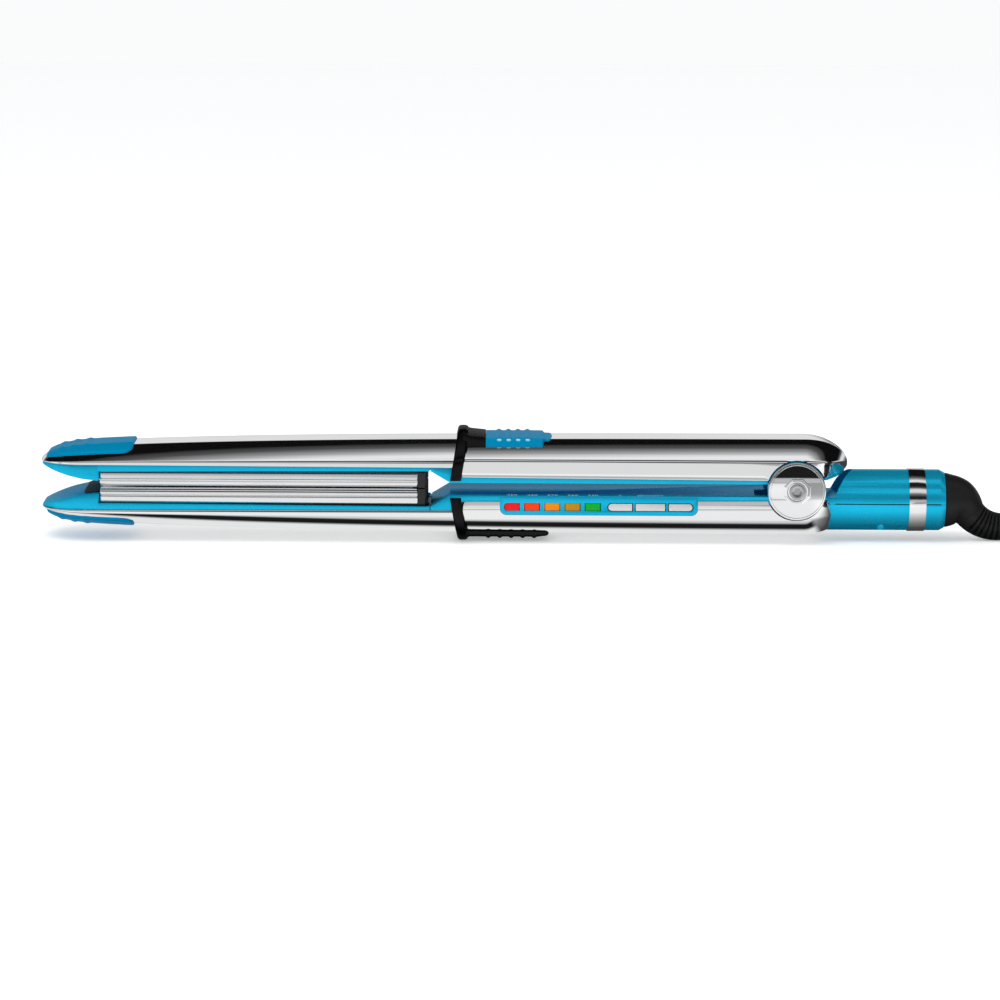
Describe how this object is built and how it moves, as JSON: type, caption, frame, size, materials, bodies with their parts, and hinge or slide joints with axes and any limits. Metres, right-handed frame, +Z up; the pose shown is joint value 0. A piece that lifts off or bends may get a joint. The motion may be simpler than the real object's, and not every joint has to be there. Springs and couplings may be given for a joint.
{
  "type": "hair straightening iron",
  "caption": "Flat hair straightening iron with hinged chrome arms, floating heated plates, blue grips, lit temperature panel, swivel cord and a tied hank with its plug.",
  "frame": {"origin": "middle of the closed iron's footprint, nose to cord sleeve, on the surface it lies on", "axes": "+X along the arms from the nose to the tail and cord, +Y away from the control panel side, +Z up through both arms"},
  "size_m": [0.5534, 0.0642, 0.0443],
  "materials": {
    "chrome_shell": "mirror-bright plating",
    "chrome_trim": "bright plating with a fine turned grain",
    "blue_plastic": "metallic blue, high gloss",
    "blue_pad": "satin soft-touch blue",
    "black_plastic": "gloss black",
    "grey_rubber": "dark grey, matte",
    "red_lens": "translucent red",
    "coral_lens": "translucent orange red",
    "orange_lens": "translucent orange",
    "amber_lens": "translucent amber",
    "green_lens": "translucent green",
    "board_green": "solder mask",
    "chip_black": "moulded epoxy",
    "steel": "zinc-plated steel",
    "spring_steel": "drawn wire",
    "washer_nylon": "natural nylon",
    "lead_sleeve": "silicone insulation",
    "plate_metal": "polished, ceramic coated",
    "heater_white": "ceramic heater tile",
    "carrier_black": "heat-resistant moulding",
    "fuse_tan": "fuse body",
    "button_silver": "silver, satin",
    "swivel_black": "semi-gloss black",
    "sleeve_rubber": "black, satin",
    "contact_brass": "bare",
    "cord_black": "black, smooth",
    "tie_black": "soft strap",
    "plug_black": "moulded, satin"
  },
  "bodies": {
    "lower_arm": {"lower_shell": "chrome_shell", "lower_housing": "blue_plastic", "lower_tip_pad": "blue_pad", "lower_collar": "black_plastic", "lower_bumper": "grey_rubber", "lamp_red": "red_lens", "lamp_coral": "coral_lens", "lamp_orange": "orange_lens", "lamp_amber": "amber_lens", "lamp_green": "green_lens", "circuit_board": "board_green", "board_parts": "chip_black", "board_screws": "steel", "hinge_pin": "steel", "hinge_cap_near": "chrome_trim", "hinge_cap_far": "chrome_trim", "cap_screws": "chrome_trim", "hinge_washers": "washer_nylon", "torsion_spring": "spring_steel", "tail_cover": "blue_plastic", "tail_ring": "chrome_trim", "tail_screws": "steel", "lower_leads": "lead_sleeve", "lower_springs": "spring_steel", "swivel_contacts": "contact_brass", "cord_run": "cord_black", "cord_hank": "cord_black", "cord_tail": "cord_black", "hank_tie": "tie_black", "plug_body": "plug_black", "plug_blades": "contact_brass"},
    "upper_arm": {"upper_shell": "chrome_shell", "upper_housing": "blue_plastic", "upper_tip_pad": "blue_pad", "upper_collar": "black_plastic", "thumb_pad": "blue_pad", "upper_leads": "lead_sleeve", "upper_springs": "spring_steel"},
    "upper_plate_set": {"upper_plate": "plate_metal", "upper_heater": "heater_white", "upper_carrier": "carrier_black"},
    "lower_plate_set": {"lower_plate": "plate_metal", "lower_heater": "heater_white", "lower_carrier": "carrier_black", "thermal_fuse": "fuse_tan"},
    "plus_key": {"plus_button": "button_silver"},
    "power_key": {"power_button": "button_silver"},
    "minus_key": {"minus_button": "button_silver"},
    "cord_swivel": {"swivel_elbow": "swivel_black", "strain_relief": "sleeve_rubber"}
  },
  "joints": [
    {"name": "arm_hinge", "type": "hinge", "parent": "lower_arm", "child": "upper_arm", "pos_m": [0.1015, 0, 0.022], "axis": [0, 1, 0], "range_deg": [0, 16]},
    {"name": "upper_float", "type": "slide", "parent": "upper_arm", "child": "upper_plate_set", "axis": [0, 0, 1], "range_m": [0, 0.0008], "stiffness_N_per_m": 2000, "springref_m": -0.001, "deforming": ["upper_springs"]},
    {"name": "lower_float", "type": "slide", "parent": "lower_arm", "child": "lower_plate_set", "axis": [0, 0, -1], "range_m": [0, 0.0008], "stiffness_N_per_m": 2000, "springref_m": -0.001, "deforming": ["lower_springs"]},
    {"name": "plus_press", "type": "slide", "parent": "lower_arm", "child": "plus_key", "axis": [0, 1, 0], "range_m": [0, 0.00045], "stiffness_N_per_m": 120, "springref_m": -0.0006},
    {"name": "power_press", "type": "slide", "parent": "lower_arm", "child": "power_key", "axis": [0, 1, 0], "range_m": [0, 0.00045], "stiffness_N_per_m": 120, "springref_m": -0.0006},
    {"name": "minus_press", "type": "slide", "parent": "lower_arm", "child": "minus_key", "axis": [0, 1, 0], "range_m": [0, 0.00045], "stiffness_N_per_m": 120, "springref_m": -0.0006},
    {"name": "cord_turn", "type": "hinge", "parent": "lower_arm", "child": "cord_swivel", "pos_m": [0.1605, 0, 0.01595], "axis": [1, 0, 0], "continuous": true}
  ]
}
